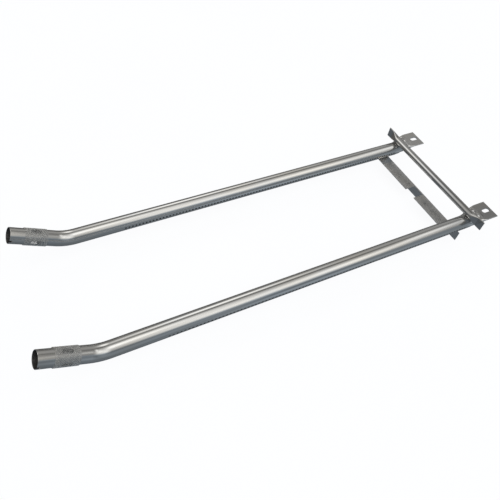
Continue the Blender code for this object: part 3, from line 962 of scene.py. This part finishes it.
def steel(name, tint, rough, streak=1.0, blotch=1.0, stains=0.0,
          scale=(7.0, 900.0, 900.0), bump=1.0, inside=False, rings=(),
          ports=False):
    """Drawn or rolled stainless: streaks along the metal, faint blotches,
    roughness and height that follow both; on request, painted shade on the
    inside walls, round the ports and round punched holes."""
    mat = bpy.data.materials.new(name)
    mat.use_nodes = True
    nt = mat.node_tree
    t = Tree(nt)
    bsdf = nt.nodes["Principled BSDF"]
    flow = t.node("ShaderNodeAttribute", attribute_name="flow").outputs["Vector"]
    lines = t.noise(t.vmath("MULTIPLY", flow, scale), 1.0, 3.0, 0.6)
    wide = t.noise(t.vmath("MULTIPLY", flow, (3.0, 190.0, 190.0)), 1.0, 2.0, 0.5)
    cloud = t.noise(t.vmath("MULTIPLY", flow, (55.0, 75.0, 75.0)), 1.0, 4.0, 0.6)
    fine = t.noise(t.vmath("MULTIPLY", flow, (900.0, 1500.0, 1500.0)), 1.0, 2.0, 0.6)
    # colour: brighter and darker drawing lines over slow clouds
    k = t.math("MULTIPLY", t.math("SUBTRACT", lines, 0.5), 0.16 * streak)
    k = t.math("ADD", k, t.math("MULTIPLY", t.math("SUBTRACT", wide, 0.5),
                                0.12 * streak))
    k = t.math("ADD", k, t.math("MULTIPLY", t.math("SUBTRACT", cloud, 0.5),
                                0.14 * blotch))
    level = t.math("ADD", k, 1.0)
    warm = t.noise(t.vmath("MULTIPLY", flow, (9.0, 30.0, 30.0)), 1.0, 2.0, 0.5)
    base = t.mix(t.range(warm, 0.35, 0.65),
                 (tint[0] * 0.985, tint[1], tint[2] * 1.02, 1),
                 (tint[0] * 1.01, tint[1] * 0.995, tint[2] * 0.965, 1))
    shade_node = t.node("ShaderNodeCombineColor")
    for i in range(3):
        t.put(shade_node.inputs[i], level)
    base = t.mix(1.0, base, shade_node.outputs[0], "MULTIPLY")
    if stains:
        spots = t.noise(t.vmath("MULTIPLY", flow, (60.0, 80.0, 80.0)), 1.0,
                        5.0, 0.7)
        mask = t.math("MULTIPLY", t.range(spots, 0.60, 0.74), stains)
        base = t.mix(mask, base, (tint[0] * 0.52, tint[1] * 0.49,
                                  tint[2] * 0.46, 1))
    for x, y in rings:              # painted shade: a dark ring round each punched hole, which widens its dark spot
        away = t.vmath("MULTIPLY", t.vmath("SUBTRACT", flow, (x, y, 0.0)),
                       (1.0, 1.0, 0.0))
        far = t.node("ShaderNodeVectorMath", operation="LENGTH")
        t.put(far.inputs[0], away)
        ring = t.range(t.math("ADD", far.outputs["Value"], t.math(
            "MULTIPLY", t.math("SUBTRACT", cloud, 0.5), 0.0012)),
            HOLE_R + 0.0002, HOLE_R + 0.0011, 0.62, 0.0, smooth=True)
        base = t.mix(ring, base, (tint[0] * 0.28, tint[1] * 0.27,
                                  tint[2] * 0.27, 1))
    if ports:                       # painted shade: a dark rim round every port, which widens its dark dot
        cut = t.node("ShaderNodeSeparateXYZ")
        t.put(cut.inputs[0], flow)
        row = t.math("ADD", cut.outputs[0], PORT_LAST)
        beat = t.node("ShaderNodeMath", operation="PINGPONG")
        t.put(beat.inputs[0], row)
        beat.inputs[1].default_value = PORT_PITCH / 2
        along = beat.outputs[0]
        gap = t.math("SQRT", t.math("MULTIPLY_ADD", along, along, t.math(
            "MULTIPLY", cut.outputs[2], cut.outputs[2])))
        painted_port_shade = t.range(gap, PORT_R + 0.00030, PORT_R + 0.00110, 0.80, 0.0,
                       smooth=True)
        on = t.math("MULTIPLY",
                    t.math("LESS_THAN", row, PORT_PITCH / 2),
                    t.math("GREATER_THAN", row, -PORT_PITCH * (PORT_COUNT - 0.5)))
        base = t.mix(t.math("MULTIPLY", painted_port_shade, on), base,
                     (tint[0] * 0.17, tint[1] * 0.165, tint[2] * 0.165, 1))
    inside_mask = None
    if inside:                      # painted shade on the inside walls so the bore and ports read dark, and a rougher finish there
        inside_mask = t.node("ShaderNodeAttribute", attribute_name="inside").outputs["Fac"]
        painted_inner_shade = t.mix(cloud, (0.030, 0.028, 0.026, 1), (0.075, 0.070, 0.064, 1))
        if ports:                   # less painted shade just inside the mouth, where light reaches in
            run = t.node("ShaderNodeSeparateXYZ")
            t.put(run.inputs[0], flow)
            painted_inner_shade = t.mix(t.range(run.outputs[0], -0.760, -0.795), painted_inner_shade,
                         (0.250, 0.246, 0.238, 1))
        base = t.mix(inside_mask, base, painted_inner_shade)
    t.put(bsdf.inputs["Base Color"], base)
    bsdf.inputs["Metallic"].default_value = 1.0
    r = t.math("ADD", rough, t.math("MULTIPLY", t.math("SUBTRACT", lines, 0.5),
                                    0.16 * streak))
    r = t.math("ADD", r, t.math("MULTIPLY", t.math("SUBTRACT", cloud, 0.5),
                                0.20 * blotch))
    if inside_mask is not None:
        r = t.math("MULTIPLY_ADD", inside_mask, 0.35, r)
    t.put(bsdf.inputs["Roughness"], t.math("MAXIMUM", r, 0.06))
    h = t.math("ADD", t.math("MULTIPLY", lines, 1.0 * streak),
               t.math("MULTIPLY", fine, 0.35))
    h = t.math("ADD", h, t.math("MULTIPLY", cloud, 2.2 * blotch))
    b = t.node("ShaderNodeBump")
    b.inputs["Strength"].default_value = 1.0
    b.inputs["Distance"].default_value = 0.0000125 * bump
    t.put(b.inputs["Height"], h)
    t.put(bsdf.inputs["Normal"], b.outputs[0])
    return mat


TUBE = steel("drawn_tube_steel", (0.650, 0.640, 0.622), 0.12, 0.7, 0.45,
             inside=True, ports=True)
CROSS = steel("carry_over_steel", (0.560, 0.552, 0.540), 0.105, 0.8, 0.5,
              scale=(9.0, 1300.0, 1300.0), inside=True)
PLATE_MID = (BR[1].x + BR[0].x) / 2
PLATE = steel("rolled_sheet_steel", (0.705, 0.701, 0.697), 0.30, 0.9, 1.1,
              stains=0.38, scale=(16.0, 700.0, 700.0), bump=0.5,
              rings=[(x - PLATE_MID, -behind) for x, behind in HOLES])
WIRE = steel("screen_wire_steel", (0.720, 0.715, 0.702), 0.13, 0.3, 0.5,
             scale=(400.0, 400.0, 400.0), bump=0.6)

# --------------------------------------------------------------- the pieces
pieces = []
for side, x in (("left", X_LEFT), ("right", X_RIGHT)):
    tube = burner_tube(side, x)
    tube.name = "tube_" + side
    tube.data.materials.clear()
    tube.data.materials.append(TUBE)
    pieces.append((tube, "burner_tube_" + side, "tube_steel"))
    mesh_screen = screen("screen_" + side, x)
    mesh_screen.data.materials.append(WIRE)
    pieces.append((mesh_screen, "insect_screen_" + side, "wire_steel"))
cross = carry_over()
cross.name = "crossover"
cross.data.materials.clear()
cross.data.materials.append(CROSS)
pieces.append((cross, "carry_over_tube", "carry_over_steel"))
plate = bracket()
plate.name = "bracket_plate"
plate.data.materials.clear()
plate.data.materials.append(PLATE)
pieces.append((plate, "support_bracket", "sheet_steel"))
for piece, node, slot_name in pieces:
    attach(piece, "root")
    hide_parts(node)


# ---------------------------------------------------------- light and floor
# Soft lights of the studio, as smooth patches of the surroundings.  Columns:
# angle about the tubes' direction (0 up, + towards +X), angle towards +Y,
# their half widths, level, spin (radians).
LIGHT_BASE = 0.255
LIGHTS = (
    (-0.88, 0.21, 0.216, 0.23, 1.22, 1.34),     # low strip on the -X side
    (0.22, -0.23, 0.296, 0.43, 1.85, 0.58),     # overhead box, front half
    (0.75, 0.24, 0.53, 0.25, 1.01, -0.10),      # overhead box, +X half
    (0.07, 0.69, 0.32, 0.065, 0.88, -0.05),     # its rear edge
    (0.07, 1.25, 0.19, 0.57, 1.20, 0.98),       # rear box
    (-2.45, 0.19, 0.55, 0.31, 0.35, 0.46),      # bounce, -X side, low
    (-1.81, 1.13, 1.26, 0.405, 0.17, -0.43),    # bounce, rear
    (-0.65, -0.555, 0.175, 0.39, 1.30, -0.30),  # narrow front box
    (1.97, 0.42, 0.305, 0.25, 0.12, -0.56),
    (1.736, 0.277, 1.5, 0.089, -0.083, -0.44),
    (0.48, 0.54, 0.48, 0.136, 0.73, 0.01),
    (1.14, 0.14, 0.27, 0.295, -0.43, -0.62),    # shaded edge of the big box
    (-0.44, 0.25, 0.13, 0.60, -0.22, 0.0),      # dark gap between two boxes
    (-0.81, 0.29, 0.22, 0.40, 0.12, 0.5),
    (0.42, 0.48, 0.35, 0.22, 0.09, 0.0),
    (1.97, 0.41, 0.35, 0.22, 0.06, 0.5),
    (-1.83, 0.16, 0.35, 0.40, -0.07, 0.5),
    (-2.53, -0.70, 0.50, 0.35, 0.11, 0.0),      # faint front bounce
)


def studio_group():
    """Radiance of the studio by direction."""
    g = bpy.data.node_groups.new("studio", "ShaderNodeTree")
    g.interface.new_socket("Direction", in_out="INPUT",
                           socket_type="NodeSocketVector")
    g.interface.new_socket("Color", in_out="OUTPUT", socket_type="NodeSocketColor")
    t = Tree(g)
    gi = t.node("NodeGroupInput")
    go = t.node("NodeGroupOutput")
    sep = t.node("ShaderNodeSeparateXYZ")
    t.put(sep.inputs[0], gi.outputs[0])
    dx, dy, dz = sep.outputs
    lam = t.math("ARCSINE", dy)
    turn = t.math("ARCTAN2", dx, dz)
    total = LIGHT_BASE
    for cx, cy, sx, sy, level, spin in LIGHTS:
        c, s = math.cos(spin), math.sin(spin)
        u0 = t.math("MULTIPLY_ADD", turn, c / sx, -(cx * c + cy * s) / sx)
        u = t.math("MULTIPLY_ADD", lam, s / sx, u0)
        v0 = t.math("MULTIPLY_ADD", turn, -s / sy, (cx * s - cy * c) / sy)
        v = t.math("MULTIPLY_ADD", lam, c / sy, v0)
        r2 = t.math("MULTIPLY_ADD", u, u, t.math("MULTIPLY", v, v))
        glow = t.math("EXPONENT", t.math("MULTIPLY", r2, -1.0))
        total = t.math("MULTIPLY_ADD", glow, level, total)
    total = t.math("MINIMUM", t.math("MAXIMUM", total, 0.12), 1.55)
    # the room falls off behind the boxes and under the part
    total = t.math("MULTIPLY", total, t.range(
        turn, math.radians(-100), math.radians(-74), 0.46, 1.0, smooth=True))
    total = t.math("MULTIPLY", total, t.range(
        turn, math.radians(138), math.radians(158), 1.0, 0.70, smooth=True))
    # daylight-cool below the +X horizon, neutral elsewhere
    cool = t.range(turn, math.radians(46), math.radians(72), smooth=True)
    cool = t.math("MAXIMUM", cool, t.range(turn, math.radians(-140),
                                           math.radians(-165), smooth=True))
    # and below the horizon in front
    front = t.math("MULTIPLY", t.range(dy, -0.2, -0.5, smooth=True),
                   t.range(dz, -0.05, -0.35, smooth=True))
    cool = t.math("MAXIMUM", cool, front)
    tone = t.mix(cool, (1.0, 1.0, 0.985, 1), (0.86, 0.985, 1.12, 1))
    n = t.node("ShaderNodeVectorMath", operation="SCALE")
    t.put(n.inputs[0], tone)
    t.put(n.inputs["Scale"], total)
    col = n.outputs[0]
    t.put(go.inputs[0], col)
    return g


STUDIO = studio_group()
world = bpy.data.worlds.new("studio_world")
bpy.context.scene.world = world
world.use_nodes = True
wt = Tree(world.node_tree)
world.node_tree.nodes.clear()
grp = wt.node("ShaderNodeGroup", node_tree=STUDIO)
wt.put(grp.inputs[0], wt.node("ShaderNodeTexCoord").outputs["Generated"])
path = wt.node("ShaderNodeLightPath")
seen = wt.node("ShaderNodeBackground")
wt.put(seen.inputs["Color"], (1.0, 1.0, 1.0, 1))
seen.inputs["Strength"].default_value = 1.0
lit = wt.node("ShaderNodeBackground")
wt.put(lit.inputs["Color"], grp.outputs[0])
both = wt.node("ShaderNodeMixShader")
wt.put(both.inputs[0], path.outputs["Is Camera Ray"])
wt.put(both.inputs[1], lit.outputs[0])
wt.put(both.inputs[2], seen.outputs[0])
wt.put(wt.node("ShaderNodeOutputWorld").inputs[0], both.outputs[0])


def floor():
    """Wide plain floor. The camera sees it near-white with faint shadows;
    reflections in the metal see the dim, cool studio below the horizon."""
    s = Skin()
    h = 14.0
    n = 8
    rows = [s.add([(-h + 2 * h * i / n, -h + 2 * h * j / n, FLOOR_Z)
                   for i in range(n + 1)]) for j in range(n + 1)]
    for a, b in zip(rows, rows[1:]):
        for i in range(n):
            s.f.append((a[i], a[i + 1], b[i + 1], b[i]))
    me = bpy.data.meshes.new("studio_floor")
    me.from_pydata(s.v, [], s.f)
    o = new_object("studio_floor", me)
    mat = bpy.data.materials.new("pale_floor")
    mat.use_nodes = True
    nt = mat.node_tree
    nt.nodes.clear()
    t = Tree(nt)
    path = t.node("ShaderNodeLightPath")
    glow = t.node("ShaderNodeEmission")
    t.put(glow.inputs["Color"], (0.985, 0.99, 1.0, 1))
    glow.inputs["Strength"].default_value = 0.950
    matt = t.node("ShaderNodeBsdfDiffuse")
    cloth = t.noise(t.node("ShaderNodeTexCoord").outputs["Object"], 3.0, 2.0)
    t.put(matt.inputs["Color"], t.mix(t.range(cloth, 0.3, 0.7),
                                      (0.080, 0.081, 0.082, 1),
                                      (0.086, 0.086, 0.086, 1)))
    shown = t.node("ShaderNodeAddShader")
    t.put(shown.inputs[0], glow.outputs[0])
    t.put(shown.inputs[1], matt.outputs[0])
    g = t.node("ShaderNodeGroup", node_tree=STUDIO)
    geo = t.node("ShaderNodeNewGeometry")
    t.put(g.inputs[0], t.vmath("MULTIPLY", geo.outputs["Incoming"],
                               (-1, -1, -1)))
    mirror = t.node("ShaderNodeEmission")
    t.put(mirror.inputs["Color"], g.outputs[0])
    mirror.inputs["Strength"].default_value = 1.0
    out = t.node("ShaderNodeMixShader")
    t.put(out.inputs[0], path.outputs["Is Glossy Ray"])
    t.put(out.inputs[1], shown.outputs[0])
    t.put(out.inputs[2], mirror.outputs[0])
    t.put(t.node("ShaderNodeOutputMaterial").inputs[0], out.outputs[0])
    mat.cycles.emission_sampling = "NONE"
    me.materials.append(mat)
    return o


floor()


# -------------------------------------------------------------------- camera
D = 2 * R
cam_data = bpy.data.cameras.new("camera")
cam = bpy.data.objects.new("camera", cam_data)
bpy.context.scene.collection.objects.link(cam)
cam_data.sensor_width = 36.0
cam_data.lens = 468.974 / 500 * 36.0
cam_data.clip_start, cam_data.clip_end = 0.01, 100.0
az, el, roll = (math.radians(v) for v in (58.438, 51.679, 7.835))
back = Vector((math.sin(az) * math.cos(el), -math.cos(az) * math.cos(el),
               math.sin(el)))
right = (-back).cross(Vector((0, 0, 1))).normalized()
upward = right.cross(-back)
c, s_ = math.cos(roll), math.sin(roll)
axes = Matrix((right * c + upward * s_, -right * s_ + upward * c, back))
cam.matrix_world = (Matrix.Translation(Vector((0, END_Y, AXIS_Z))
                                       + Vector((16.986, -27.643, 23.893)) * D)
                    @ axes.transposed().to_4x4())
bpy.context.scene.camera = cam
bpy.context.scene.view_settings.view_transform = "Standard"
bpy.context.scene.view_settings.look = "None"
